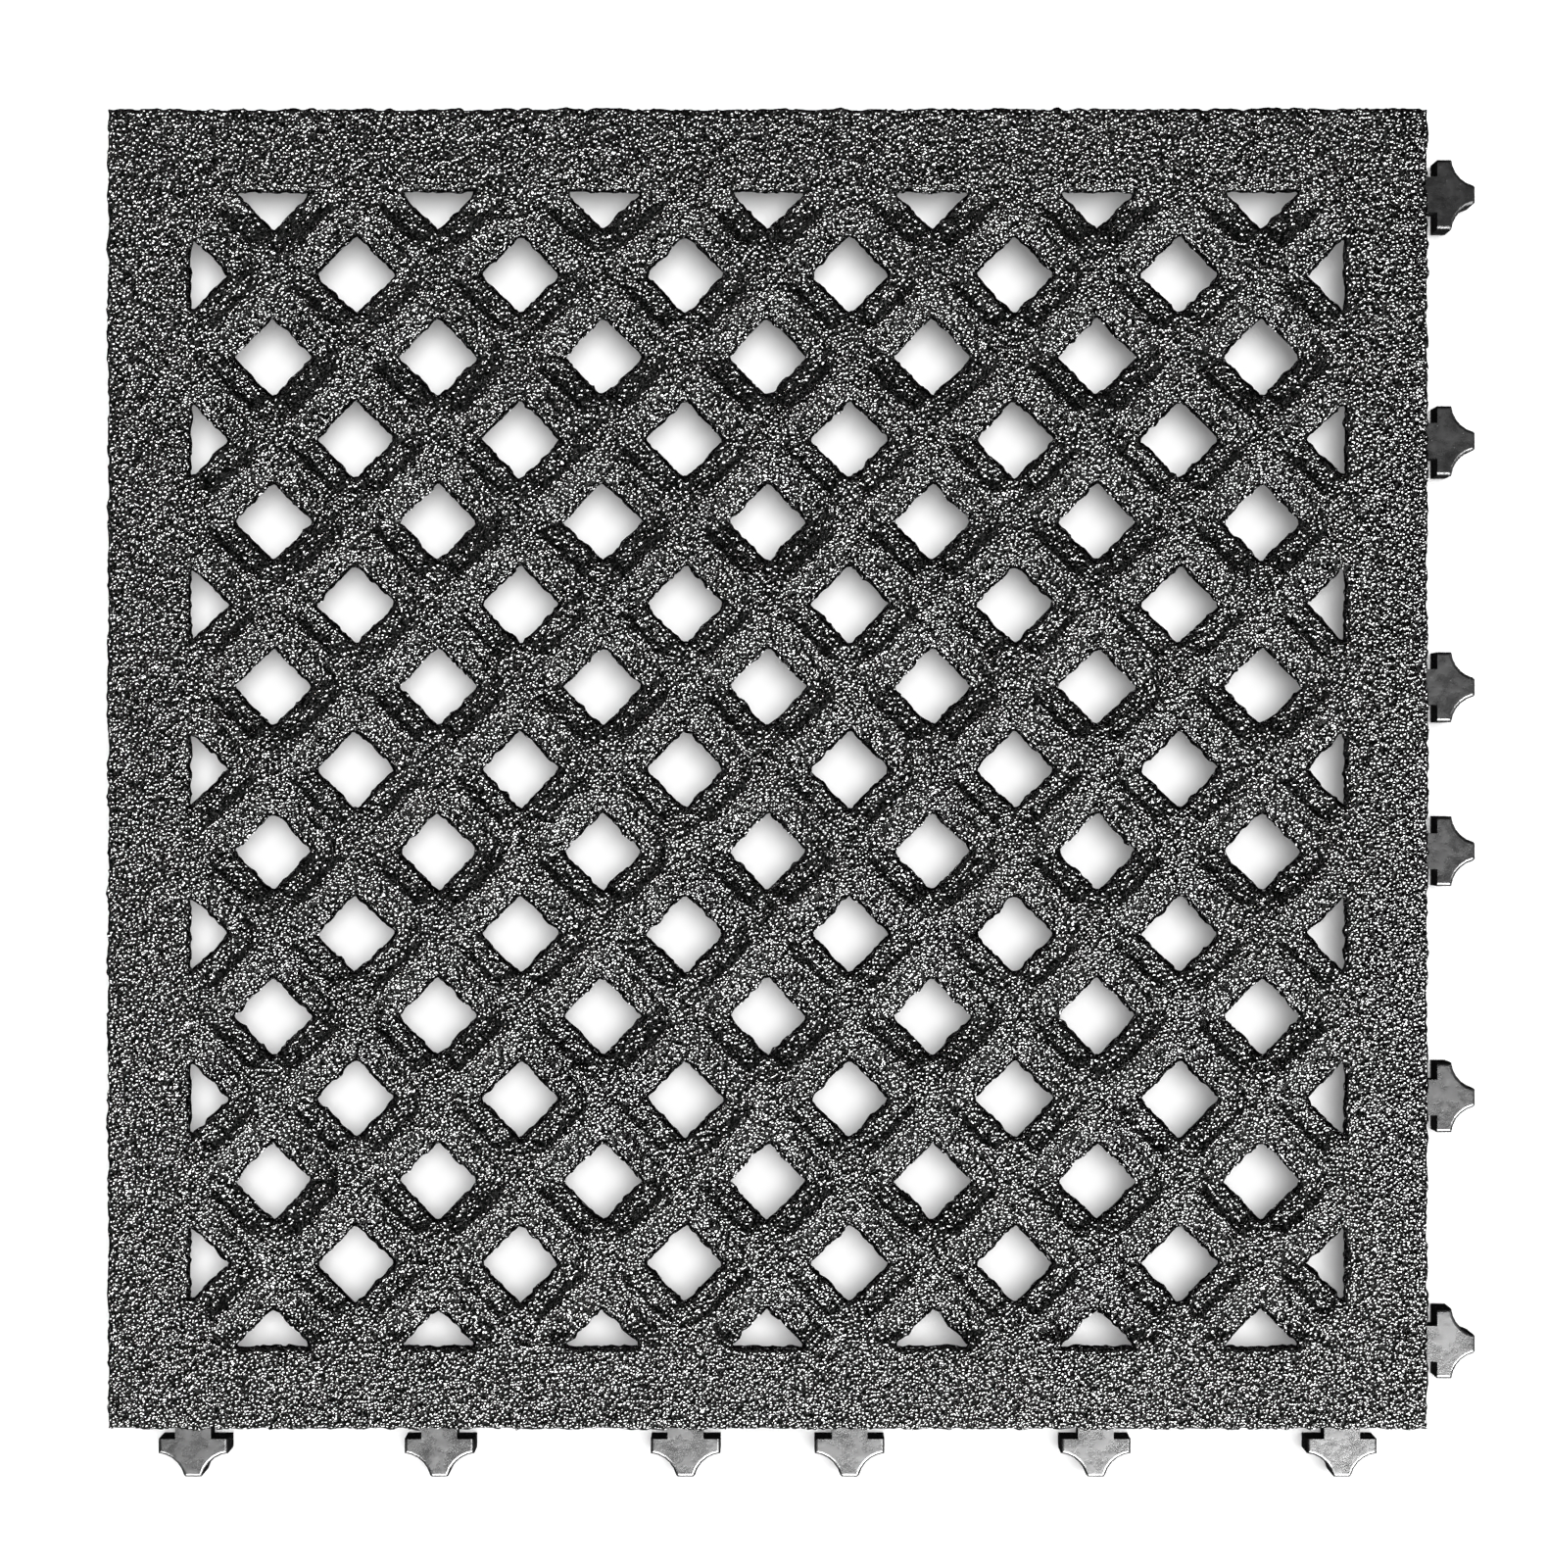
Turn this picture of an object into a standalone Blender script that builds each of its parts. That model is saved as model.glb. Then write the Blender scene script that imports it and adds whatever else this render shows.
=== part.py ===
"""Interlocking drainage floor tile with an abrasive tread.

A square PVC tile, pierced by a diamond lattice, stands on ribs and feet so that
water runs off under it. An abrasive coat covers its top. Arrow-shaped connectors
stand out of the right and front edges, and sockets under the left and back edges
drop over the connectors of the next tiles.

Metres, +Z up. The origin is on the floor under the tile's centre, +X points to the
right edge and +Y to the back edge.
"""

import math

import bmesh
import bpy
from mathutils import Matrix, Vector

# Plan of the tile
PITCH = 0.05715  # from one hole to the next in its row
TILE_HALF = 4 * PITCH
WINDOW_HALF = 3.5 * PITCH  # the lattice fills this square, and the border surrounds it
RIM = 0.003  # solid strip round the lattice, which carries the ends of its bars

# Heights
HEIGHT = 0.022225
COAT_THICKNESS = 0.0028  # with the tread's relief, which dishes down into it
DECK_THICKNESS = 0.0017
GAP = 0.0003  # between pieces that touch
COAT_BOTTOM = HEIGHT - COAT_THICKNESS
DECK_TOP = COAT_BOTTOM - GAP
DECK_BOTTOM = DECK_TOP - DECK_THICKNESS
UNDERSIDE_TOP = DECK_BOTTOM - GAP  # top of everything that hangs under the deck
DRAIN_HEIGHT = 0.003  # water passes under the border's skirt up to here

# Holes: squares turned onto a corner, cut to half squares at the window's edge
HOLE_REACH = 0.0137  # centre to corner, before the corner is rounded
HALF_HOLE_REACH = 0.0130
HOLE_CORNER = 0.0015
DECK_HOLE_GROWTH = 0.0006  # the coat laps over the deck's edge by this much

# Ribs and feet under the lattice
RIB_WIDTH = 0.003
GRID_MARGIN = 0.0072  # the grid reaches this far past the window, under the border
GRID_RIM = 0.0027
RIB_BOTTOM = 0.0060
FOOT_WIDTH = 0.0110
FOOT_TOP_WIDTH = 0.0130
FOOT_BITE = 0.0020  # a foot reaches this far up into the crossing of its ribs

# Border
SKIRT_WIDTH = 0.004
BORDER_FOOT = 0.008  # each stretch of skirt stands on a foot of this length at both ends

# Connectors, measured outwards (u) from the tile's edge and along it (v)
CONNECTOR_PLACES = (-3.5, -2.0, -0.5, 0.5, 2.0, 3.5)  # in pitches, along an edge
CONNECTOR_TOP = 0.0155
NECK_BOTTOM = 0.0055
HEAD_BOTTOM = 0.0015
NECK_LENGTH = 0.0046
NECK_HALF = 0.0062
HEAD_HALF = 0.01215
HEAD_SIDE = 0.0050  # length of the head's straight side
FLANK_RADIUS = 0.0100
FLANK_CENTRE = (0.0196, 0.0130)
TIP_HALF = 0.0027
CONNECTOR_REACH = 0.0178
CONNECTOR_ROUND = 0.0011
ANCHOR_HALF = 0.0100
ANCHOR_THICKNESS = 0.0035

# Sockets, measured inwards (u) from the tile's edge and along it (v)
CLEARANCE = 0.0004  # round a connector in its socket
SOCKET_WALL = 0.003
SOCKET_HALF = HEAD_HALF + CLEARANCE + SOCKET_WALL
SOCKET_DEPTH = CONNECTOR_REACH + CLEARANCE + SOCKET_WALL - 0.0004
SOCKET_TAPER = 0.00925  # the block's inner corners are cut off at 45 degrees by this much

POINT_MERGE = 1e-6


def clear_scene():
    for item in list(bpy.data.objects):
        bpy.data.objects.remove(item, do_unlink=True)


def plastic(name, colour, roughness, specular):
    material = bpy.data.materials.new(name)
    material.use_nodes = True
    shader = material.node_tree.nodes["Principled BSDF"]
    shader.inputs["Base Color"].default_value = (*colour, 1.0)
    shader.inputs["Roughness"].default_value = roughness
    shader.inputs["Metallic"].default_value = 0.0
    shader.inputs["Specular IOR Level"].default_value = specular
    return material


def place(name, bm, material, smooth_angle=None):
    """Turns bm into a named object with its material."""
    bmesh.ops.recalc_face_normals(bm, faces=bm.faces[:])
    mesh = bpy.data.meshes.new(name)
    bm.to_mesh(mesh)
    bm.free()
    if smooth_angle is not None:
        mesh.shade_smooth()
        mesh.set_sharp_from_angle(angle=smooth_angle)
    mesh.materials.append(material)
    item = bpy.data.objects.new(name, mesh)
    bpy.context.scene.collection.objects.link(item)
    return item


def extrude(bm, faces, height, keep=False):
    """Moves these faces by height and joins them to where they were. keep leaves the
    faces there too, which closes a sheet into a solid."""
    edges = list({edge for face in faces for edge in face.edges})
    verts = list({vert for face in faces for vert in face.verts})
    made = bmesh.ops.extrude_face_region(bm, geom=faces + edges + verts, use_keep_orig=keep)
    moved = [item for item in made["geom"] if isinstance(item, bmesh.types.BMVert)]
    bmesh.ops.translate(bm, verts=moved, vec=(0.0, 0.0, height))


def plate(loops, bottom, top):
    """A flat plate: loops holds its outline and then its holes, as (x, y) points."""
    bm = bmesh.new()
    for loop in loops:
        verts = [bm.verts.new((x, y, bottom)) for x, y in loop]
        for i, vert in enumerate(verts):
            bm.edges.new((verts[i - 1], vert))
    bmesh.ops.triangle_fill(bm, edges=bm.edges[:], use_beauty=True)
    extrude(bm, bm.faces[:], top - bottom, keep=True)
    return bm


def square(half):
    return [(-half, -half), (half, -half), (half, half), (-half, half)]


def hole_places():
    """(centre, inward) of every hole. inward is None for a whole hole, and for a half
    hole on the window's edge it points into the lattice."""
    for across in range(-4, 4):
        for along in range(-3, 4):
            far = (across + 0.5) * PITCH
            near = along * PITCH
            cut = abs(far) > WINDOW_HALF - PITCH / 4
            inward = -math.copysign(1.0, far)
            yield Vector((far, near)), Vector((inward, 0.0)) if cut else None
            yield Vector((near, far)), Vector((0.0, inward)) if cut else None


def whole_hole(centre, reach, corner):
    """A square turned onto its corner, with each corner cut off where its rounding starts."""
    cut = corner / math.sqrt(2)
    loop = []
    for quarter in range(4):
        out = Vector((1.0, 0.0)) @ Matrix.Rotation(-quarter * math.pi / 2, 2)
        side = out.orthogonal()
        ends = (-cut, cut) if corner else (0.0,)
        loop += [centre + out * (reach - cut) + side * end for end in ends]
    return loop


def half_hole(centre, inward, reach, corner, flat_shift):
    """Half of the same square. Its long side lies flat_shift outside the window's edge."""
    side = inward.orthogonal()
    base = centre - inward * flat_shift
    deep = reach + flat_shift
    if not corner:
        return [base - side * deep, base + inward * deep, base + side * deep]
    cut = corner / math.sqrt(2)
    sharp = corner / math.tan(math.pi / 8)  # a 45 degree corner rounds over this length
    slant = sharp / math.sqrt(2)
    half = [
        base + side * (deep - sharp),
        base + side * (deep - slant) + inward * slant,
        base + side * cut + inward * (deep - cut),
    ]
    return half + [point - side * 2 * (point - base).dot(side) for point in reversed(half)]


def hole_loops(reach, half_reach, corner, flat_shift):
    loops = []
    for centre, inward in hole_places():
        if inward is None:
            loops.append(whole_hole(centre, reach, corner))
        else:
            loops.append(half_hole(centre, inward, half_reach, corner, flat_shift))
    return loops


def make_grit_coat(material):
    holes = hole_loops(HOLE_REACH, HALF_HOLE_REACH, HOLE_CORNER, 0.0)
    place("grit_coat", plate([square(TILE_HALF), *holes], COAT_BOTTOM, HEIGHT), material)


def make_lattice_deck(material):
    wide = HOLE_REACH + DECK_HOLE_GROWTH
    half_wide = HALF_HOLE_REACH + DECK_HOLE_GROWTH
    holes = hole_loops(wide, half_wide, 0.0, DECK_HOLE_GROWTH)
    bm = plate([square(WINDOW_HALF + RIM), *holes], DECK_BOTTOM, DECK_TOP)
    place("lattice_deck", bm, material)


def feet():
    """One tapered foot under every second crossing of the ribs, its corners in the ribs."""
    bm = bmesh.new()
    height = RIB_BOTTOM + FOOT_BITE
    for column in range(-3, 4):
        for row in range(-3, 4):
            spot = Vector((column * PITCH, row * PITCH, height / 2))
            bmesh.ops.create_cone(
                bm,
                cap_ends=True,
                segments=4,
                radius1=FOOT_WIDTH / math.sqrt(2),
                radius2=FOOT_TOP_WIDTH / math.sqrt(2),
                depth=height,
                matrix=Matrix.Translation(spot) @ Matrix.Rotation(math.pi / 4, 4, "Z"),
            )
    return bm


def half_cell(centre, inward, reach):
    """Half a cell of the ribs, with straight walls from the window's edge to the rim."""
    side = inward.orthogonal() * reach
    far = centre - inward * (GRID_MARGIN - GRID_RIM)
    return [far - side, centre - side, centre + inward * reach, centre + side, far + side]


def make_support_grid(material):
    reach = PITCH / 2 - RIB_WIDTH / math.sqrt(2)
    cells = [
        whole_hole(centre, reach, 0.0) if inward is None else half_cell(centre, inward, reach)
        for centre, inward in hole_places()
    ]
    bm = plate([square(WINDOW_HALF + GRID_MARGIN), *cells], RIB_BOTTOM, UNDERSIDE_TOP)
    grid = place("support_grid", bm, material)
    foot_blocks = place("foot_blocks", feet(), material)
    foot_blocks.hide_render = True
    foot_blocks.display_type = "WIRE"
    joined = grid.modifiers.new("Feet", "BOOLEAN")
    joined.operation = "UNION"
    joined.solver = "EXACT"
    joined.object = foot_blocks


def skirt_stretches(notch_half):
    """The stretches of skirt between the notches of one edge, as (start, end)."""
    ends = [-TILE_HALF]
    for pitches in CONNECTOR_PLACES:
        ends += [pitches * PITCH - notch_half, pitches * PITCH + notch_half]
    ends.append(TILE_HALF)
    return list(zip(ends[0::2], ends[1::2]))


def in_stretch(stretches, along, margin):
    """True within margin of an end of a stretch. With margin None, anywhere on it."""
    for start, end in stretches:
        if start < along < end:
            return margin is None or min(along - start, end - along) < margin
    return False


def make_border_frame(material):
    """A flat ring with a skirt on its outer edge. The skirt has notches for the connectors'
    necks and for the sockets, and stands on feet so that water drains under it."""
    inner = WINDOW_HALF + RIM + GAP
    skirt = TILE_HALF - SKIRT_WIDTH
    neck_notch = skirt_stretches(NECK_HALF + GAP)
    socket_notch = skirt_stretches(SOCKET_HALF + GAP)

    def stretches_at(x, y):
        """The skirt's stretches on the edge nearest to (x, y), and how far along it is."""
        if abs(x) > abs(y):
            return (neck_notch if x > 0 else socket_notch), y
        return (socket_notch if y > 0 else neck_notch), x

    def on_skirt(centre, margin):
        if max(abs(centre.x), abs(centre.y)) < skirt:
            return False
        return in_stretch(*stretches_at(centre.x, centre.y), margin)

    marks = {-TILE_HALF, -skirt, -inner, inner, skirt, TILE_HALF}
    for start, end in neck_notch + socket_notch:
        marks |= {start, end, start + BORDER_FOOT, end - BORDER_FOOT}
    lines = sorted(mark for mark in marks if abs(mark) <= TILE_HALF)
    bm = bmesh.new()
    corners = {(x, y): bm.verts.new((x, y, DECK_TOP)) for x in lines for y in lines}
    for left, right in zip(lines, lines[1:]):
        for front, back in zip(lines, lines[1:]):
            reach = max(abs(left + right), abs(front + back)) / 2
            if reach > inner:
                spots = ((left, front), (right, front), (right, back), (left, back))
                bm.faces.new([corners[spot] for spot in spots])
    bmesh.ops.delete(bm, geom=[v for v in bm.verts if not v.link_faces], context="VERTS")

    extrude(bm, bm.faces[:], DECK_BOTTOM - DECK_TOP, keep=True)
    for level, margin, drop in (
        (DECK_BOTTOM, None, DRAIN_HEIGHT - DECK_BOTTOM),
        (DRAIN_HEIGHT, BORDER_FOOT, -DRAIN_HEIGHT),
    ):
        hanging = [
            face
            for face in bm.faces
            if all(abs(v.co.z - level) < POINT_MERGE for v in face.verts)
            and on_skirt(face.calc_center_median(), margin)
        ]
        extrude(bm, hanging, drop)
    place("border_frame", bm, material)


def flank(steps):
    """The head's hollow flank, from its straight side to its tip, as an arc."""
    centre = Vector(FLANK_CENTRE)
    starts_at = Vector((NECK_LENGTH + HEAD_SIDE, HEAD_HALF)) - centre
    ends_at = Vector((CONNECTOR_REACH - 0.0006, TIP_HALF + 0.0005)) - centre
    first = math.atan2(starts_at.y, starts_at.x)
    last = math.atan2(ends_at.y, ends_at.x) + 2 * math.pi
    first += 2 * math.pi if first < 0 else 0.0
    turns = [first + (last - first) * i / steps for i in range(steps + 1)]
    return [
        centre + FLANK_RADIUS * Vector((math.cos(turn), math.sin(turn))) for turn in turns
    ]


def head_outline(grow, steps):
    """Half of the head's outline beyond the neck, from its shoulder to its tip, with v
    above zero. grow moves it outwards on every side."""
    shoulder = NECK_LENGTH - grow
    half = HEAD_HALF + grow
    side_end = NECK_LENGTH + HEAD_SIDE
    curve = [point + Vector((grow, grow)) * math.sqrt(0.5) for point in flank(steps)]
    return [
        Vector((shoulder, NECK_HALF + grow)),
        Vector((shoulder, half)),
        Vector((side_end, half)),
        *curve[1:],
        Vector((CONNECTOR_REACH + grow, TIP_HALF)),
    ]


def mirrored(points):
    return [Vector((point.x, -point.y)) for point in reversed(points)]


def connector_shape():
    """Arrow head, neck and anchor, with u along +X and the tile's edge at u = 0."""
    bm = bmesh.new()
    upper = head_outline(0.0, 5)
    root = -SKIRT_WIDTH - GAP
    anchor = [
        Vector((root, NECK_HALF)),
        Vector((root, ANCHOR_HALF)),
        Vector((root - ANCHOR_THICKNESS, ANCHOR_HALF)),
    ]
    head_verts = [bm.verts.new((p.x, p.y, CONNECTOR_TOP)) for p in upper + mirrored(upper)]
    anchor_verts = [
        bm.verts.new((p.x, p.y, CONNECTOR_TOP)) for p in anchor + mirrored(anchor)
    ]
    head = bm.faces.new(head_verts)
    neck = bm.faces.new([head_verts[0], *anchor_verts, head_verts[-1]])

    extrude(bm, [head, neck], NECK_BOTTOM - CONNECTOR_TOP, keep=True)
    under_head = [
        face
        for face in bm.faces
        if all(abs(v.co.z - NECK_BOTTOM) < POINT_MERGE for v in face.verts)
        and face.calc_center_median().x > NECK_LENGTH
    ]
    extrude(bm, under_head, HEAD_BOTTOM - NECK_BOTTOM)

    past_shoulder = NECK_LENGTH + POINT_MERGE
    rim = [
        edge
        for edge in bm.edges
        if all(abs(v.co.z - CONNECTOR_TOP) < POINT_MERGE for v in edge.verts)
        and any(v.co.x > past_shoulder for v in edge.verts)
    ]
    bmesh.ops.bevel(
        bm, geom=rim, offset=CONNECTOR_ROUND, segments=4, affect="EDGES", profile=0.5
    )
    return bm


def socket_shape():
    """A block with a pocket shaped like the connector, open below and at the tile's edge,
    with u along +X and the tile's edge at u = 0."""
    pocket = [Vector((0.0, NECK_HALF + CLEARANCE)), *head_outline(CLEARANCE, 4)]
    block = [
        Vector((SOCKET_DEPTH, SOCKET_HALF - SOCKET_TAPER)),
        Vector((SOCKET_DEPTH - SOCKET_TAPER, SOCKET_HALF)),
        Vector((0.0, SOCKET_HALF)),
    ]
    half = block + pocket
    return plate([half + mirrored(half)], 0.0, UNDERSIDE_TOP)


def make_edge_pieces(name, shape, material, edge_angle, inwards):
    """Copies of one shape along an edge. edge_angle points out of that edge, and inwards
    turns the shape round, so that it lies under the tile."""
    turn = Matrix.Rotation(edge_angle + (math.pi if inwards else 0.0), 4, "Z")
    middle = Matrix.Rotation(edge_angle, 4, "Z") @ Vector((TILE_HALF, 0.0, 0.0))
    across = abs(math.cos(edge_angle)) > 0.5
    for number, pitches in enumerate(CONNECTOR_PLACES, start=1):
        along = Vector((0.0, pitches * PITCH, 0.0) if across else (pitches * PITCH, 0.0, 0.0))
        piece = place(f"{name}_{number}", shape.copy(), material, math.radians(30))
        piece.matrix_world = Matrix.Translation(middle + along) @ turn
    shape.free()


def main():
    clear_scene()
    grit = plastic("grit", (0.035, 0.035, 0.036), 0.45, 0.6)
    vinyl = plastic("vinyl", (0.020, 0.020, 0.021), 0.60, 0.5)
    smooth_vinyl = plastic("smooth_vinyl", (0.030, 0.030, 0.031), 0.38, 0.5)
    make_grit_coat(grit)
    make_lattice_deck(vinyl)
    make_support_grid(vinyl)
    make_border_frame(vinyl)
    right, back, left, front = (quarter * math.pi / 2 for quarter in range(4))
    make_edge_pieces("connector_right", connector_shape(), smooth_vinyl, right, False)
    make_edge_pieces("connector_front", connector_shape(), smooth_vinyl, front, False)
    make_edge_pieces("socket_left", socket_shape(), vinyl, left, True)
    make_edge_pieces("socket_back", socket_shape(), vinyl, back, True)


main()
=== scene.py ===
"""Looks of the interlocking drainage floor tile: abrasive tread, moulded vinyl, pale studio.

Metres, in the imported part's own frame: the floor at z = 0, the tile's centre over the
origin, connectors on the +X and -Y edges.
"""

import math

import bmesh
import bpy
import numpy as np
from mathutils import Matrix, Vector
from mathutils.geometry import tessellate_polygon


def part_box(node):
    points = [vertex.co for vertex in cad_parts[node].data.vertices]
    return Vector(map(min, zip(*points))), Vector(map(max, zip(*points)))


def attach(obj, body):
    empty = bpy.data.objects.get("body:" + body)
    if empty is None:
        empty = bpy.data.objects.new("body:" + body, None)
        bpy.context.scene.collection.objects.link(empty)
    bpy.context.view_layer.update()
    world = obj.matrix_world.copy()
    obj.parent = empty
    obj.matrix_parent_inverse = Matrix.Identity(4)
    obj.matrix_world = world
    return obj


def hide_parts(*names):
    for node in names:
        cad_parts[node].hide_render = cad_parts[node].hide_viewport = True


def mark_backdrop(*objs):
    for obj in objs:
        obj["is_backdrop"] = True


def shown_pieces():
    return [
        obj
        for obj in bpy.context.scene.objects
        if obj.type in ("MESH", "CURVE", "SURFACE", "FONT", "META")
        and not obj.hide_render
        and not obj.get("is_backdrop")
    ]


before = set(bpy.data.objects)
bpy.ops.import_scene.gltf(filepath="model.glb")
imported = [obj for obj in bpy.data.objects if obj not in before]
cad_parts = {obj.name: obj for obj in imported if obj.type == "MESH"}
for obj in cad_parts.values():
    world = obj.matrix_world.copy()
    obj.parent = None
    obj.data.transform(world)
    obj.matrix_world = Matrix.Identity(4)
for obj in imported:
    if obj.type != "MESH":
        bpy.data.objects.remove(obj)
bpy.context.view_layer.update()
scene = bpy.context.scene

# Driving dimensions, from the frame
COAT_LOW, COAT_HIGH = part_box("grit_coat")
TILE_HALF = COAT_HIGH.x
TREAD_TOP = COAT_HIGH.z
COAT_BOTTOM = COAT_LOW.z
PITCH = TILE_HALF / 4  # from one hole to the next in its row
WINDOW_HALF = 3.5 * PITCH  # the lattice fills this square, and the border surrounds it
BAR_PITCH = PITCH / math.sqrt(2)  # from one diagonal bar to the next

# Holes: squares turned onto a corner, cut to half squares at the window's edge
HOLE_REACH = 0.0137
HALF_HOLE_REACH = 0.0130
HOLE_CORNER = 0.0015
HALF_HOLE_CORNER = 0.0006

# Relief of the tread, as depths below its highest ground
RELIEF_SHARE = 0.55  # of the depth is in the mesh, and the rest in the shading
RIDGE_HALF = 0.0025  # from the middle of a bar to the middle of its ridge's flank
RIDGE_FLANK = 0.0030
RIDGE_DEPTH = 0.00165
RIDGE_SHIFT = 0.0032  # from the middle of a hole's side, towards the hole's left or right corner
RIDGE_FADE = (0.0080, 0.0130)  # a ridge sinks between these distances from there, along its bar
CORNER_SHARE = 0.45  # of the drop and of the dish is left round the crossings of the bars
CORNER_SINK = 0.0098  # the drop round the crossings comes in over this width from a bar's middle
DISH_START = 0.0178  # from a hole's middle to where the ground begins to fall towards it
SHALLOW_SLOPE = 0.085  # of the ground towards every second hole
STEEP_SLOPE = 0.27  # of the ground towards the holes between those
BORDER_RIDGE = 0.00020  # height of the faint lines that carry the bars on into the border
BORDER_LINE_HALF = 0.0022
BORDER_LINE_REACH = 0.020
BORDER_FLANK = 0.0070  # over which the lattice rises to the border
ROLL_WIDTH = 0.0024  # of the rounded rim along every open edge
ROLL_DEPTH = 0.0018
OUTER_ROLL = 0.25  # share of the roll along the tile's outer edges
LEAST_THICKNESS = 0.00015  # of the coat, where the relief is deepest

# Coarse grains and clots, in the mesh of the tread
GRAIN_SPACING = 0.0018
GRAIN_REACH = 0.70  # half a grain's width, in spacings
GRAIN_RISE = 0.00042
CLOT_SPACING = 0.0042
CLOT_RISE = 0.00027
GROUND_DEPTH = 0.00054  # from the tread's top to the highest ground between grains and clots
BITE_SIZE = 0.0034  # of the bites and bulges along the edges
BITE_DEPTH = 0.0011
CRUMB_SIZE = 0.0013  # of the crumbs on top of those
CRUMB_DEPTH = 0.0008

# Walls of the coat, and the lip that hangs over the edges of the plate under it
WALL_BULGE = 0.00022
LIP_WIDTH = 0.00035
LEAST_LIP = 0.0007
LIP_SPREAD = 0.0009
OUTER_LIP = 0.00025

# Fine grains of the coat, in its shading
GRIT_SIZE = 0.00115
GRIT_HEIGHT = 0.00060
GRIT_LEAN = 1.2
GRIT_WARP_SIZE = 0.0012
GRIT_WARP = 0.0004
GRIT_ROUGHNESS = (0.03, 0.12)

# Mesh of the tread
CELLS = 80  # in one pitch
JITTER = 0.5  # of a cell
SEED = 20
NOISE_SPAN = 2.3 * TILE_HALF  # the grids of random numbers reach past the tile's edges

EDGE_ROUND = 0.0003  # of the moulded pieces


def random_grid(seed, count, layers=1):
    """Square layers of random numbers between 0 and 1."""
    return np.random.default_rng(SEED + seed).random((layers, count, count))


def value_noise(x, y, spacing, seed):
    """Smooth noise between 0 and 1, with features of this size."""
    count = int(NOISE_SPAN / spacing) + 3
    grid = random_grid(seed, count)[0]
    u, v = x / spacing + count / 2, y / spacing + count / 2
    i, j = np.floor(u).astype(int), np.floor(v).astype(int)
    fu, fv = u - i, v - j
    fu, fv = fu * fu * (3 - 2 * fu), fv * fv * (3 - 2 * fv)
    near = grid[i, j] * (1 - fu) + grid[i + 1, j] * fu
    far = grid[i, j + 1] * (1 - fu) + grid[i + 1, j + 1] * fu
    return near * (1 - fv) + far * fv


def grains(x, y, spacing, size, seed):
    """Height from 0 to 1 of a ground strewn with round grains, one in each cell."""
    count = int(NOISE_SPAN / spacing) + 5
    shift_x, shift_y, width, height = random_grid(seed, count, 4)
    u, v = x / spacing + count / 2, y / spacing + count / 2
    i, j = np.floor(u).astype(int), np.floor(v).astype(int)
    best = np.zeros_like(x)
    for di in (-1, 0, 1):
        for dj in (-1, 0, 1):
            at = (i + di, j + dj)
            away = (u - at[0] - shift_x[at]) ** 2 + (v - at[1] - shift_y[at]) ** 2
            reach = size * (0.65 + 0.5 * width[at])
            dome = np.sqrt(np.clip(1 - away / reach**2, 0, None))
            best = np.maximum(best, dome * (0.55 + 0.45 * height[at]))
    return best


def smooth_step(low, high, value):
    """0 below low, 1 above high, and a smooth rise between them."""
    t = np.clip((value - low) / (high - low), 0, 1)
    return t * t * (3 - 2 * t)


def bar_coordinates(x, y):
    """Places measured across the two sets of diagonal bars."""
    return (x + y) / math.sqrt(2), (x - y) / math.sqrt(2)


def relief(x, y):
    """Depth of the moulded ground under its highest level, without its grains."""
    a, b = bar_coordinates(x, y)
    i, j = np.floor(a / BAR_PITCH), np.floor(b / BAR_PITCH)
    from_a, from_b = a - (i + 0.5) * BAR_PITCH, b - (j + 0.5) * BAR_PITCH
    out = np.maximum(np.abs(from_a), np.abs(from_b))
    side = np.minimum(np.abs(from_a), np.abs(from_b))
    from_bar = BAR_PITCH / 2 - out
    flank = smooth_step(RIDGE_HALF - RIDGE_FLANK / 2, RIDGE_HALF + RIDGE_FLANK / 2, from_bar)
    along = side - RIDGE_SHIFT * np.sign(from_a * from_b)
    fade = 1 - smooth_step(*RIDGE_FADE, along)
    sunk = smooth_step(0, CORNER_SINK, from_bar)
    drop = RIDGE_DEPTH * (flank * fade + CORNER_SHARE * sunk * (1 - fade))
    steep = np.mod(i + j, 2) > 0.5
    slope = np.where(steep, STEEP_SLOPE, SHALLOW_SLOPE)
    dish = slope * np.clip(DISH_START - out, 0, None)
    inside = drop + dish * (CORNER_SHARE + (1 - CORNER_SHARE) * fade)

    edge = np.maximum(np.abs(x), np.abs(y)) - WINDOW_HALF
    inside = inside * smooth_step(0, BORDER_FLANK, -edge)
    line = np.exp(-((from_bar / BORDER_LINE_HALF) ** 2))
    outside = -BORDER_RIDGE * line * np.exp(-np.clip(edge, 0, None) / BORDER_LINE_REACH)
    return BORDER_RIDGE + np.where(edge > 0, outside, inside)


def hole_places():
    """(centre, inward) of every hole, in half pitches. inward is (0, 0) for a whole hole,
    and for a half hole on the window's edge it points into the lattice."""
    for far in range(-7, 8, 2):
        for near in range(-6, 7, 2):
            inward = -int(math.copysign(1, far)) if abs(far) == 7 else 0
            yield (far, near), (inward, 0)
            yield (near, far), (0, inward)


def hole_outline(inward, reach):
    """Grid offsets round a hole's edge, and its corners."""
    edge = [
        (i, j)
        for i in range(-reach, reach + 1)
        for j in range(-reach, reach + 1)
        if abs(i) + abs(j) == reach
    ]
    corners = [(reach, 0), (0, reach), (-reach, 0), (0, -reach)]
    if inward == (0, 0):
        return edge, corners
    side = (-inward[1], inward[0])
    edge = [p for p in edge if p[0] * inward[0] + p[1] * inward[1] > 0]
    edge += [(side[0] * n, side[1] * n) for n in range(-reach, reach + 1)]
    tip = (inward[0] * reach, inward[1] * reach)
    left = (side[0] * reach, side[1] * reach)
    return edge, [tip, left, (-left[0], -left[1])]


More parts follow.
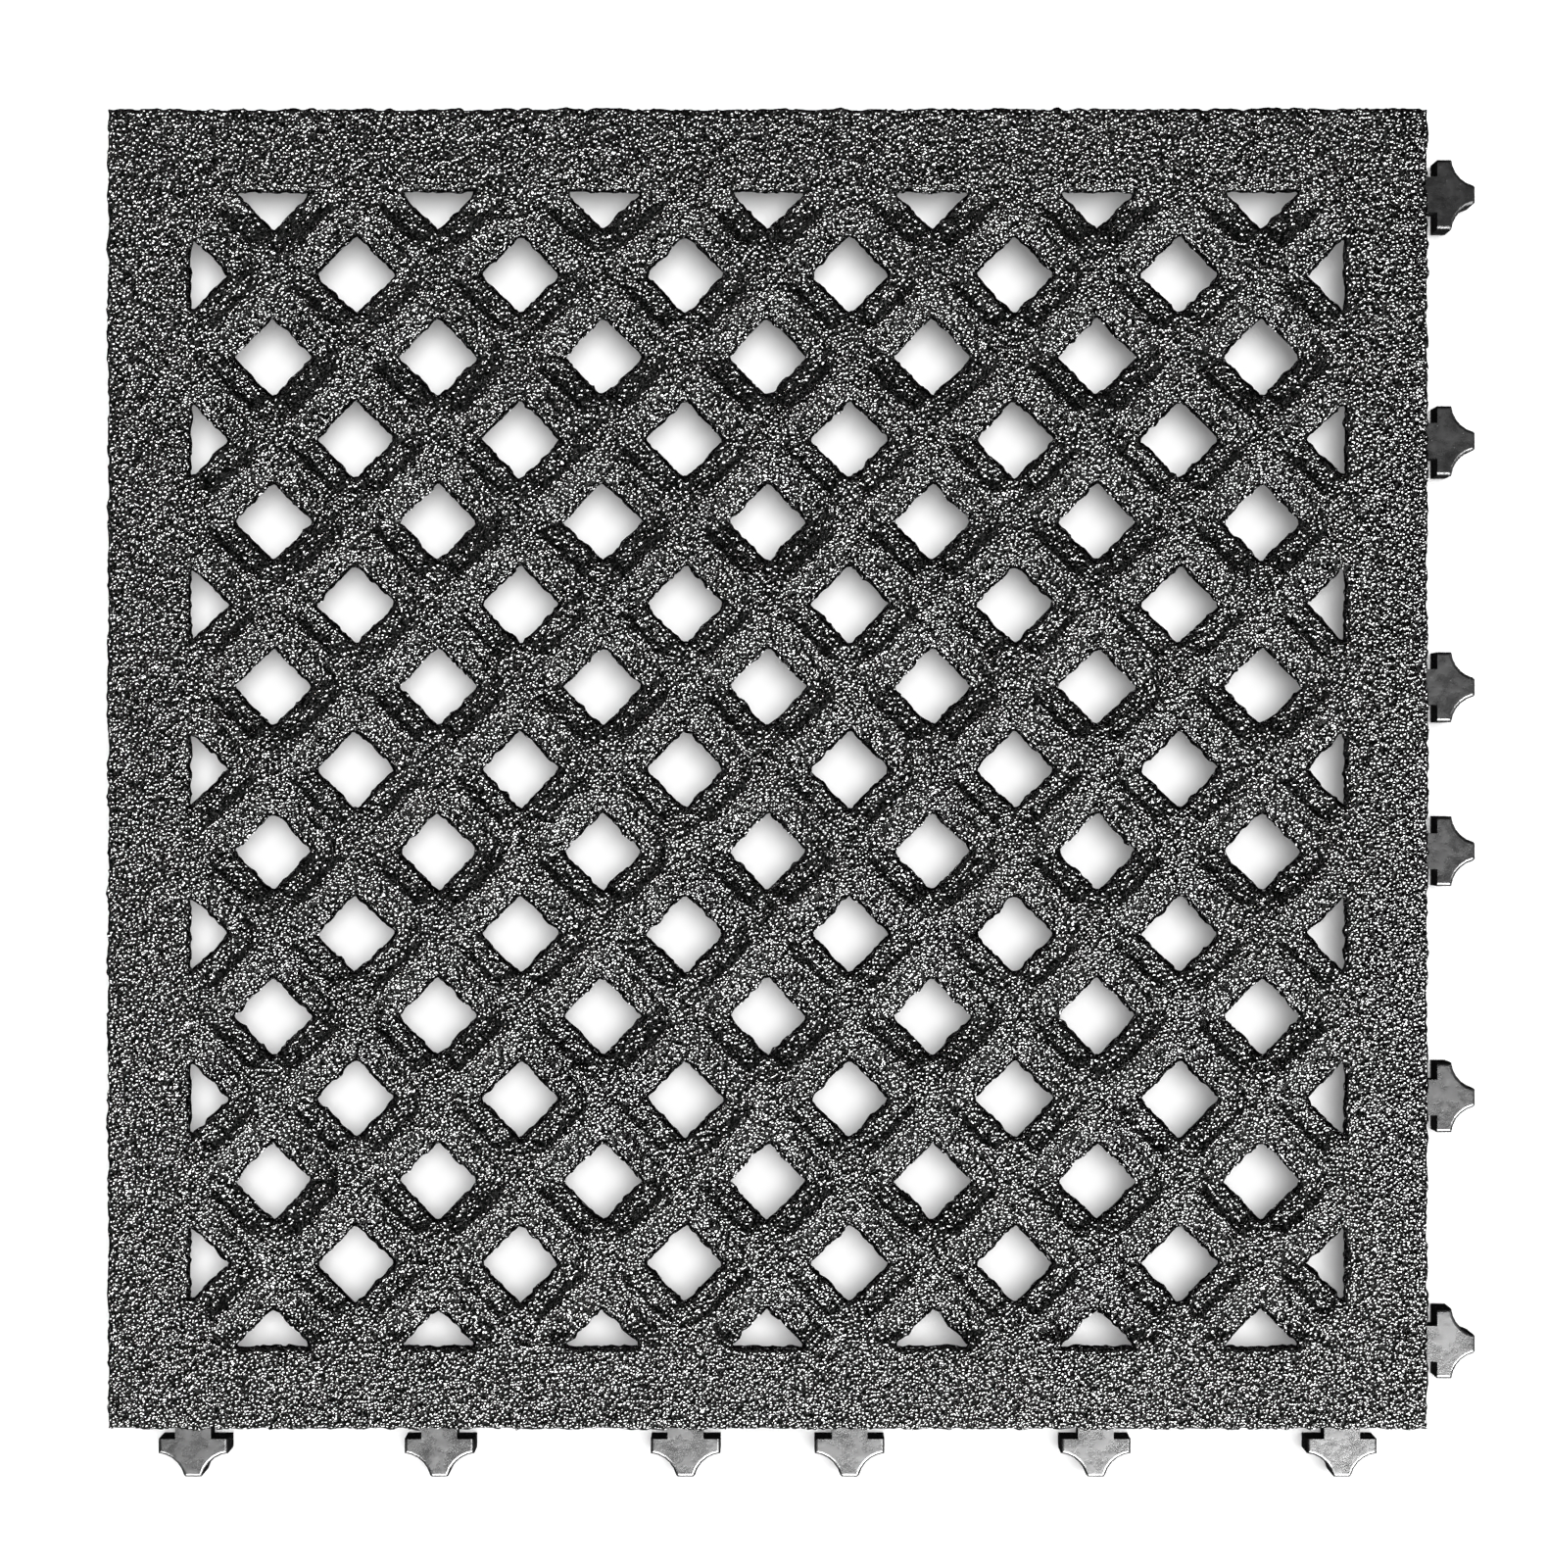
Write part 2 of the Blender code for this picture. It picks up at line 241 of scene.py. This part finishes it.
def round_corners(points, corners, radius):
    """Moves the points near a corner of a convex outline onto an arc."""
    count = len(corners)
    for k in range(count):
        corner = np.array(corners[k])
        before = np.array(corners[k - 1]) - corner
        after = np.array(corners[(k + 1) % count]) - corner
        before = before / np.linalg.norm(before)
        after = after / np.linalg.norm(after)
        middle = before + after
        half = math.acos(float(before @ after)) / 2
        centre = corner + middle / np.linalg.norm(middle) * radius / math.sin(half)
        near = np.linalg.norm(points - corner, axis=1) < radius / math.tan(half)
        spoke = points[near] - centre
        points[near] = centre + spoke * radius / np.linalg.norm(spoke, axis=1)[:, None]
    return points


def tread_plan():
    """Plan of the tread: places of the grid's points, and the faces left between holes."""
    count = 8 * CELLS
    step = 2 * TILE_HALF / count
    line = (np.arange(count + 1) / count - 0.5) * 2 * TILE_HALF
    place = np.stack(np.meshgrid(line, line, indexing="ij"), axis=-1)
    shift = np.zeros_like(place)
    fixed = np.zeros((count + 1, count + 1), bool)
    cell_kind = np.zeros((count, count), int)  # 0 whole, 1 to 4 cut, 5 gone
    for centre, inward in hole_places():
        cx, cy = (count // 2 + half * CELLS // 2 for half in centre)
        middle = place[cx, cy]
        true_reach = HOLE_REACH if inward == (0, 0) else HALF_HOLE_REACH
        reach = round(true_reach / step)
        i, j = np.meshgrid(*[np.arange(-reach - 1, reach + 1)] * 2, indexing="ij")
        away = np.abs(i + 0.5) + np.abs(j + 0.5)
        hollow = ((i + 0.5) * inward[0] + (j + 0.5) * inward[1] > 0) | (inward == (0, 0))
        gone = hollow & (away < reach)
        cut = hollow & (away == reach)
        corner = np.where(i >= 0, np.where(j >= 0, 1, 4), np.where(j >= 0, 2, 3))
        cell_kind[i[gone] + cx, j[gone] + cy] = 5
        cell_kind[i[cut] + cx, j[cut] + cy] = corner[cut]
        edge, corners = hole_outline(inward, reach)
        edge = np.array(sorted(set(edge)))
        scale = true_reach / reach
        radius = HOLE_CORNER if inward == (0, 0) else HALF_HOLE_CORNER
        new = round_corners(edge * scale, np.array(corners) * scale, radius)
        at = (edge[:, 0] + cx, edge[:, 1] + cy)
        shift[at] = new + middle - place[at]
        fixed[at] = True
    rim = np.zeros_like(fixed)
    rim[0], rim[-1], rim[:, 0], rim[:, -1] = True, True, True, True
    ragged = ragged_edge(place)
    shift[fixed] += ragged[fixed]
    shift[rim] = ragged[rim]
    held = (fixed | rim)[..., None]
    for _ in range(3):
        around = np.zeros_like(shift)
        around[1:-1, 1:-1] = (
            shift[2:, 1:-1] + shift[:-2, 1:-1] + shift[1:-1, 2:] + shift[1:-1, :-2]
        ) / 4
        shift = np.where(held, shift, around)
    jitter = (random_grid(1, count + 1, 2) - 0.5).transpose(1, 2, 0) * JITTER * step
    shift += np.where(held, 0, jitter)
    return place, place + shift, cell_kind


def ragged_edge(place):
    """How far grains and clots of coat push the edges about."""
    x, y = place[..., 0], place[..., 1]
    bites = np.stack([value_noise(x, y, BITE_SIZE, s) for s in (2, 3)], axis=-1) - 0.5
    crumbs = np.stack([value_noise(x, y, CRUMB_SIZE, s) for s in (4, 5)], axis=-1) - 0.5
    return bites * BITE_DEPTH + crumbs * CRUMB_DEPTH


def tread_faces(cell_kind):
    """Quads of the whole cells and triangles of the cut ones, as grid indices."""
    side = cell_kind.shape[0] + 1

    def corners_of(i, j):
        first, second = i * side + j, (i + 1) * side + j
        return np.stack([first, second, second + 1, first + 1], axis=1)

    quads = corners_of(*np.nonzero(cell_kind == 0))
    triangles = []
    # a cell's corners run 0 lower left, 1 lower right, 2 upper right, 3 upper left; the
    # kept triangle leaves out the one nearest to the hole
    for kind, dropped in ((1, 0), (2, 1), (3, 2), (4, 3)):
        cell = corners_of(*np.nonzero(cell_kind == kind))
        kept = [k % 4 for k in range(dropped + 1, dropped + 4)]
        triangles.append(cell[:, kept])
    return quads, np.concatenate(triangles)


def open_edges(polygons, count):
    """Directed edges that only one face uses, each with its face on the left."""
    starts = np.concatenate([p.ravel() for p in polygons])
    ends = np.concatenate([np.roll(p, -1, axis=1).ravel() for p in polygons])
    return np.stack([starts, ends], axis=1)[~np.isin(starts * count + ends, ends * count + starts)]


def mesh_object(name, points, polygons):
    """A smooth object from points and arrays of faces, one array for each count of corners."""
    mesh = bpy.data.meshes.new(name)
    mesh.vertices.add(len(points))
    mesh.vertices.foreach_set("co", np.asarray(points, np.float32).ravel())
    corners = np.concatenate([p.ravel() for p in polygons]).astype(np.int32)
    sizes = np.concatenate([np.full(len(p), p.shape[1]) for p in polygons])
    mesh.loops.add(len(corners))
    mesh.loops.foreach_set("vertex_index", corners)
    mesh.polygons.add(len(sizes))
    mesh.polygons.foreach_set("loop_start", (np.cumsum(sizes) - sizes).astype(np.int32))
    mesh.update(calc_edges=True)
    mesh.polygons.foreach_set("use_smooth", np.full(len(sizes), True))
    item = bpy.data.objects.new(name, mesh)
    scene.collection.objects.link(item)
    return item


def fill_loops(points, edges):
    """Triangles between an outline and its holes, seen from below."""
    follows = dict(edges.tolist())
    loops = []
    while follows:
        start, at = follows.popitem()
        loop = [start]
        while at != start:
            loop.append(at)
            at = follows.pop(at)
        loops.append(loop)
    flat = [i for loop in loops for i in loop]
    spots = [[Vector((*points[i][:2], 0.0)) for i in loop] for loop in loops]
    made = np.array(tessellate_polygon(spots))
    made = np.array(flat)[made]
    first, second, third = (points[made[:, k], :2] for k in range(3))
    turn = np.cross(second - first, third - first)
    made[turn > 0] = made[turn > 0][:, ::-1]
    return made[np.abs(turn) > 0]


def rim_roll(plan, rim):
    """Share of the roll's depth at every point, by the distance along the grid from the rim."""
    side = plan.shape[0]
    step = 2 * TILE_HALF / (side - 1)
    away = np.full((side, side), np.inf)
    away[np.unravel_index(rim, (side, side))] = 0
    for _ in range(3):
        for axis in (0, 1):
            for shift in (1, -1):
                away = np.minimum(away, np.roll(away, shift, axis) + step)
    outer = np.max(np.abs(plan), axis=-1) > (WINDOW_HALF + TILE_HALF) / 2
    roll = np.clip(1 - away / ROLL_WIDTH, 0, 1) ** 2
    return (roll * np.where(outer, OUTER_ROLL, 1.0)).ravel()


def outward(points, edges, rim):
    """Unit vectors in plan that point away from the coat at the rim's points."""
    run = points[edges[:, 1], :2] - points[edges[:, 0], :2]
    normal = np.stack([run[:, 1], -run[:, 0]], axis=1)
    out = np.zeros((len(points), 2))
    np.add.at(out, edges[:, 0], normal)
    np.add.at(out, edges[:, 1], normal)
    return out[rim] / np.linalg.norm(out[rim], axis=1)[:, None]


def wall_rings(base, out, outer):
    """Copies of the rim that lead down the coat's wall, round its lip and up to its underside."""
    rough = [value_noise(base[:, 0], base[:, 1], CRUMB_SIZE, s)[:, None] for s in (40, 41, 42)]
    lip = np.where(outer, OUTER_LIP, LEAST_LIP + LIP_SPREAD * rough[2][:, 0])
    inset = np.where(outer, 0.0, LIP_WIDTH)[:, None]
    thick = base[:, 2] - COAT_BOTTOM

    def ring(offset, height):
        return np.column_stack([base[:, :2] + out * offset, height])

    return [
        ring(WALL_BULGE * (rough[0] - 0.1), base[:, 2] - 0.4 * thick),
        ring(WALL_BULGE * (rough[1] - 0.4), COAT_BOTTOM + 0.1 * thick),
        ring(-0.3 * inset, COAT_BOTTOM - lip),
        ring(-inset, COAT_BOTTOM - lip),
        ring(-inset, np.full(len(base), COAT_BOTTOM)),
    ]


def make_tread():
    """The whole coat: its relief, its coarse grains, and its walls down to a flat underside."""
    plan, place, cell_kind = tread_plan()
    polygons = list(tread_faces(cell_kind))
    x, y = place[..., 0].ravel(), place[..., 1].ravel()
    edges = open_edges(polygons, x.size)
    rim = np.unique(edges)
    depth = relief(plan[..., 0].ravel(), plan[..., 1].ravel())
    depth += ROLL_DEPTH * rim_roll(plan, rim)

    z = TREAD_TOP - GROUND_DEPTH - RELIEF_SHARE * depth
    z += GRAIN_RISE * grains(x, y, GRAIN_SPACING, GRAIN_REACH, 10)
    z += CLOT_RISE * value_noise(x, y, CLOT_SPACING, 30)
    lowest = COAT_BOTTOM + LEAST_THICKNESS
    z = lowest + np.logaddexp(0, (z - lowest) / LEAST_THICKNESS) * LEAST_THICKNESS
    top = np.stack([x, y, z], axis=1)

    outer = np.max(np.abs(plan.reshape(-1, 2)[rim]), axis=1) > (WINDOW_HALF + TILE_HALF) / 2
    rings = wall_rings(top[rim], outward(top, edges, rim), outer)
    points = np.concatenate([top, *rings])
    in_ring = np.searchsorted(rim, edges)
    upper = edges
    for level in range(len(rings)):
        lower = x.size + level * len(rim) + in_ring
        polygons.append(np.column_stack([upper[:, ::-1], lower]))
        upper = lower
    polygons.append(fill_loops(points, upper))

    used = np.unique(np.concatenate([p.ravel() for p in polygons]))
    new = np.full(len(points), -1)
    new[used] = np.arange(len(used))
    tread = mesh_object("tread_grit", points[used], [new[p] for p in polygons])
    rest = (RELIEF_SHARE - 1) * depth
    rest = np.concatenate([rest, np.tile(rest[rim], len(rings))])
    layer = tread.data.attributes.new("relief_rest", "FLOAT", "POINT")
    layer.data.foreach_set("value", rest[used].astype(np.float32))
    return tread


# ---------------------------------------------------------------- materials


def shader_material(name, roughness, specular):
    material = bpy.data.materials.new(name)
    material.use_nodes = True
    shader = material.node_tree.nodes["Principled BSDF"]
    shader.inputs["Roughness"].default_value = roughness
    shader.inputs["Specular IOR Level"].default_value = specular
    return material, shader


def feed(material, socket, value):
    """Sets a socket's own value, or links it to another node's output."""
    if isinstance(value, bpy.types.NodeSocket):
        material.node_tree.links.new(value, socket)
    else:
        socket.default_value = value


def add_node(material, kind, settings=None, **values):
    """A node with its properties set, and its inputs set or linked by name."""
    made = material.node_tree.nodes.new(kind)
    for key, value in (settings or {}).items():
        setattr(made, key, value)
    for key, value in values.items():
        feed(material, made.inputs[key.replace("_", " ")], value)
    return made


def worked_out(material, kind, operation, *values):
    """Result of a Math or VectorMath node."""
    made = add_node(material, "ShaderNode" + kind, {"operation": operation})
    for socket, value in zip(made.inputs, values):
        feed(material, socket, value)
    return next(output for output in made.outputs if output.enabled)


def object_place(material):
    return add_node(material, "ShaderNodeTexCoord").outputs["Object"]


def noise(material, place, size, detail=2.0, roughness=0.5):
    return add_node(
        material,
        "ShaderNodeTexNoise",
        Vector=place,
        Scale=1 / size,
        Detail=detail,
        Roughness=roughness,
    ).outputs["Fac"]


def between(material, value, low, high, to_low, to_high):
    """value carried from one range to another, and held at its ends."""
    made = add_node(material, "ShaderNodeMapRange", Value=value)
    feed(material, made.inputs["From Min"], low)
    feed(material, made.inputs["From Max"], high)
    feed(material, made.inputs["To Min"], to_low)
    feed(material, made.inputs["To Max"], to_high)
    return made.outputs["Result"]


def colours(material, value, first, last):
    """Ramp between two colours, each with the value at which it is reached."""
    made = add_node(material, "ShaderNodeValToRGB", Fac=value)
    for element, (position, colour) in zip(made.color_ramp.elements, (first, last)):
        element.position = position
        element.color = (*colour, 1.0)
    return made.outputs["Color"]


def bump(material, height, distance, strength=1.0, under=None):
    """Normal bent by a height, on top of the bump under it."""
    made = add_node(material, "ShaderNodeBump", Height=height, Strength=strength, Distance=distance)
    if under is not None:
        feed(material, made.inputs["Normal"], under)
    return made.outputs["Normal"]


def facets(material, place, size, lean):
    """Height of domes packed side by side, each leaning its own way, and their random colours."""
    scaled = worked_out(material, "VectorMath", "SCALE", place)
    scaled.node.inputs["Scale"].default_value = 1 / size
    cells = add_node(material, "ShaderNodeTexVoronoi", {"feature": "F1"}, Vector=scaled, Scale=1.0)
    squared = worked_out(material, "Math", "POWER", cells.outputs["Distance"], 2.0)
    away = worked_out(material, "VectorMath", "SUBTRACT", scaled, cells.outputs["Position"])
    half = (0.5, 0.5, 0.5)
    tilt = worked_out(material, "VectorMath", "SUBTRACT", cells.outputs["Color"], half)
    rise = worked_out(material, "VectorMath", "DOT_PRODUCT", away, tilt)
    rise = worked_out(material, "Math", "MULTIPLY", rise, lean)
    return worked_out(material, "Math", "SUBTRACT", rise, squared), cells.outputs["Color"]


def warp(material, place, size, distance):
    """Places pushed along every axis by up to this distance, by noise of this size."""
    pushed = add_node(material, "ShaderNodeTexNoise", Vector=place, Scale=1 / size, Detail=0.0)
    far = (distance, distance, distance)
    return worked_out(material, "VectorMath", "MULTIPLY_ADD", pushed.outputs["Color"], far, place)


def make_grit_material():
    """Black abrasive grains in a glossy binder: each dome glints where it faces the light."""
    material, shader = shader_material("grit_black", 0.12, 0.5)
    shader.inputs["IOR"].default_value = 2.0
    place = object_place(material)
    bent = warp(material, place, GRIT_WARP_SIZE, GRIT_WARP)
    height, colour = facets(material, bent, GRIT_SIZE, GRIT_LEAN)
    rest = add_node(material, "ShaderNodeAttribute", {"attribute_name": "relief_rest"})
    normal = bump(material, rest.outputs["Fac"], 1.0)
    normal = bump(material, height, GRIT_HEIGHT, under=normal)
    feed(material, shader.inputs["Normal"], normal)
    tint = add_node(material, "ShaderNodeSeparateColor", Color=colour)
    dark, light = (0.0004, 0.0004, 0.0004), (0.0012, 0.0012, 0.0012)
    shade = colours(material, tint.outputs["Red"], (0.0, dark), (1.0, light))
    feed(material, shader.inputs["Base Color"], shade)
    roughness = between(material, tint.outputs["Green"], 0.0, 1.0, *GRIT_ROUGHNESS)
    feed(material, shader.inputs["Roughness"], roughness)
    return material


def make_vinyl_material():
    """Matt moulded vinyl, with the fine pebbling of its mould and faint flow marks."""
    material, shader = shader_material("vinyl_black", 0.5, 0.4)
    place = object_place(material)
    broad = noise(material, place, 0.012, 4.0, 0.6)
    pebble = noise(material, place, 0.00045, 3.0, 0.6)
    normal = bump(material, pebble, 0.00005, 0.8)
    normal = bump(material, broad, 0.0004, 0.3, normal)
    feed(material, shader.inputs["Normal"], normal)
    dark, light = (0.0030, 0.0030, 0.0031), (0.0070, 0.0070, 0.0072)
    base = colours(material, broad, (0.3, dark), (0.7, light))
    feed(material, shader.inputs["Base Color"], base)
    roughness = between(material, broad, 0.3, 0.7, 0.42, 0.62)
    feed(material, shader.inputs["Roughness"], roughness)
    return material


def make_connector_material():
    """Satin vinyl, handled and a little scuffed, with specks of dust."""
    material, shader = shader_material("satin_vinyl_black", 0.35, 0.8)
    shader.inputs["IOR"].default_value = 1.85
    place = object_place(material)
    broad = noise(material, place, 0.006, 5.0, 0.62)
    pebble = noise(material, place, 0.0005, 3.0, 0.55)
    normal = bump(material, pebble, 0.00003, 0.8)
    normal = bump(material, broad, 0.0003, 0.35, normal)
    feed(material, shader.inputs["Normal"], normal)
    dust = add_node(material, "ShaderNodeTexVoronoi", Vector=place, Scale=1 / 0.0022)
    speck = between(material, dust.outputs["Distance"], 0.05, 0.09, 1.0, 0.0)
    dark, light = (0.0025, 0.0025, 0.0026), (0.0060, 0.0060, 0.0062)
    base = colours(material, broad, (0.3, dark), (0.7, light))
    mixed = add_node(material, "ShaderNodeMix", {"data_type": "RGBA"}, Factor=speck)
    feed(material, mixed.inputs[6], base)
    feed(material, mixed.inputs[7], (0.10, 0.10, 0.10, 1.0))
    feed(material, shader.inputs["Base Color"], mixed.outputs[2])
    roughness = between(material, broad, 0.3, 0.7, 0.22, 0.32)
    feed(material, shader.inputs["Roughness"], roughness)
    return material


def wear(item, material):
    item.data.materials.clear()
    item.data.materials.append(material)


def round_edges(item):
    """Rounds a moulded piece's edges."""
    made = item.modifiers.new("Rounded edges", "BEVEL")
    made.width = EDGE_ROUND
    made.segments = 2
    made.limit_method = "ANGLE"
    made.angle_limit = math.radians(25)
    item.data.shade_smooth()
    item.data.set_sharp_from_angle(angle=math.radians(35))
    weighted = item.modifiers.new("Weighted normals", "WEIGHTED_NORMAL")
    weighted.keep_sharp = True


# ---------------------------------------------------------------- studio

CAMERA_HEIGHT = 1.3  # above the tread
FIELD_HEIGHT = 0.5429  # what the picture's long side spans at the tread
AIM = (0.00207, -0.00516)  # where the camera's axis meets the tread
SENSOR_WIDTH = 36.0  # millimetres
KEY_RADIANCE = 24.0
FLOOR_RADIUS = 14.0
BACKDROP_RADIUS = 16.0


def make_camera():
    data = bpy.data.cameras.new("camera")
    data.sensor_width = SENSOR_WIDTH
    data.lens = SENSOR_WIDTH * CAMERA_HEIGHT / FIELD_HEIGHT
    camera = bpy.data.objects.new("camera", data)
    camera.location = (*AIM, TREAD_TOP + CAMERA_HEIGHT)
    scene.collection.objects.link(camera)
    scene.camera = camera


def add_lamp(name, data, away, receivers):
    """A lamp that shines from the direction away, on the receivers alone."""
    lamp = bpy.data.objects.new(name, data)
    lamp.rotation_euler = (-Vector(away)).to_track_quat("-Z", "Y").to_euler()
    scene.collection.objects.link(lamp)
    lamp.light_linking.receiver_collection = receivers
    return lamp


def softbox(name, place, width, height, radiance, receivers):
    """A lit panel that faces the middle of the tread, and that the camera doesn't see."""
    data = bpy.data.lights.new(name, "AREA")
    data.shape = "RECTANGLE"
    data.size = width
    data.size_y = height
    data.energy = radiance * width * height * math.pi
    lamp = add_lamp(name, data, Vector(place) - Vector((0.0, 0.0, TREAD_TOP)), receivers)
    lamp.location = place
    lamp.visible_camera = False


def sun(name, away, spread, strength, receivers):
    """Light from far away, spread over an angle in degrees."""
    data = bpy.data.lights.new(name, "SUN")
    data.energy = strength
    data.angle = math.radians(spread)
    add_lamp(name, data, away, receivers)


def glowing_material(name, grey, glow, roughness, specular):
    material, shader = shader_material(name, roughness, specular)
    shader.inputs["Base Color"].default_value = (grey, grey, grey, 1.0)
    shader.inputs["Emission Color"].default_value = (1.0, 1.0, 1.0, 1.0)
    shader.inputs["Emission Strength"].default_value = glow
    return material


def stage_object(name, bm, material):
    mesh = bpy.data.meshes.new(name)
    bm.to_mesh(mesh)
    bm.free()
    mesh.materials.append(material)
    item = bpy.data.objects.new(name, mesh)
    scene.collection.objects.link(item)
    return item


def make_floor():
    """A pale floor, and a white backdrop all round that only the camera sees."""
    bm = bmesh.new()
    bmesh.ops.create_circle(bm, cap_ends=True, segments=64, radius=FLOOR_RADIUS)
    floor = stage_object("floor", bm, glowing_material("floor_white", 0.85, 0.20, 0.8, 0.1))
    floor.visible_glossy = False  # so that the tile's walls stay black

    bm = bmesh.new()
    bmesh.ops.create_uvsphere(bm, u_segments=48, v_segments=24, radius=BACKDROP_RADIUS)
    bmesh.ops.reverse_faces(bm, faces=bm.faces[:])
    white = glowing_material("backdrop_white", 0.0, 1.0, 1.0, 0.0)
    backdrop = stage_object("backdrop", bm, white)
    for flag in ("visible_diffuse", "visible_glossy", "visible_transmission", "visible_shadow"):
        setattr(backdrop, flag, False)
    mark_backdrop(floor, backdrop)
    return floor


def direction(right, back):
    """Unit vector tilted from the vertical by these angles, in degrees."""
    return Vector((math.tan(math.radians(right)), math.tan(math.radians(back)), 1.0)).normalized()


def make_studio(floor):
    """Suns that light the floor alone, panels that light the tile alone, and a dark room."""
    on_floor = bpy.data.collections.new("lit_from_above")
    on_floor.objects.link(floor)
    on_tile = bpy.data.collections.new("lit_by_softboxes")
    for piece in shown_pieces():
        on_tile.objects.link(piece)
    sun("floor_light", direction(9, 5), 34, 3.0, on_floor)
    for right, back in ((68, 0), (-68, 0), (0, 68), (0, -68)):
        sun("floor_wash", direction(right, back), 20, 1.1, on_floor)
    softbox("softbox_front", (1.05, -3.60, 4.80), 5.1, 3.5, KEY_RADIANCE, on_tile)
    softbox("fill_back", (-2.6, 2.6, 1.6), 5.0, 2.4, 0.4, on_tile)
    softbox("fill_front", (0.0, -3.6, 0.8), 4.0, 1.2, 0.5, on_tile)
    softbox("fill_right", (3.6, 0.0, 0.8), 4.0, 1.2, 0.5, on_tile)

    world = bpy.data.worlds.new("studio")
    scene.world = world
    world.use_nodes = True
    world.node_tree.nodes["Background"].inputs["Color"].default_value = (0.006, 0.006, 0.006, 1.0)
    scene.view_settings.view_transform = "Standard"


def main():
    tread = make_tread()
    tread.data.materials.append(make_grit_material())
    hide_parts("grit_coat")
    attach(tread, "root")

    vinyl = make_vinyl_material()
    satin = make_connector_material()
    for name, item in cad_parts.items():
        if name != "grit_coat":
            wear(item, satin if name.startswith("connector") else vinyl)
            round_edges(item)
    make_camera()
    make_studio(make_floor())


main()
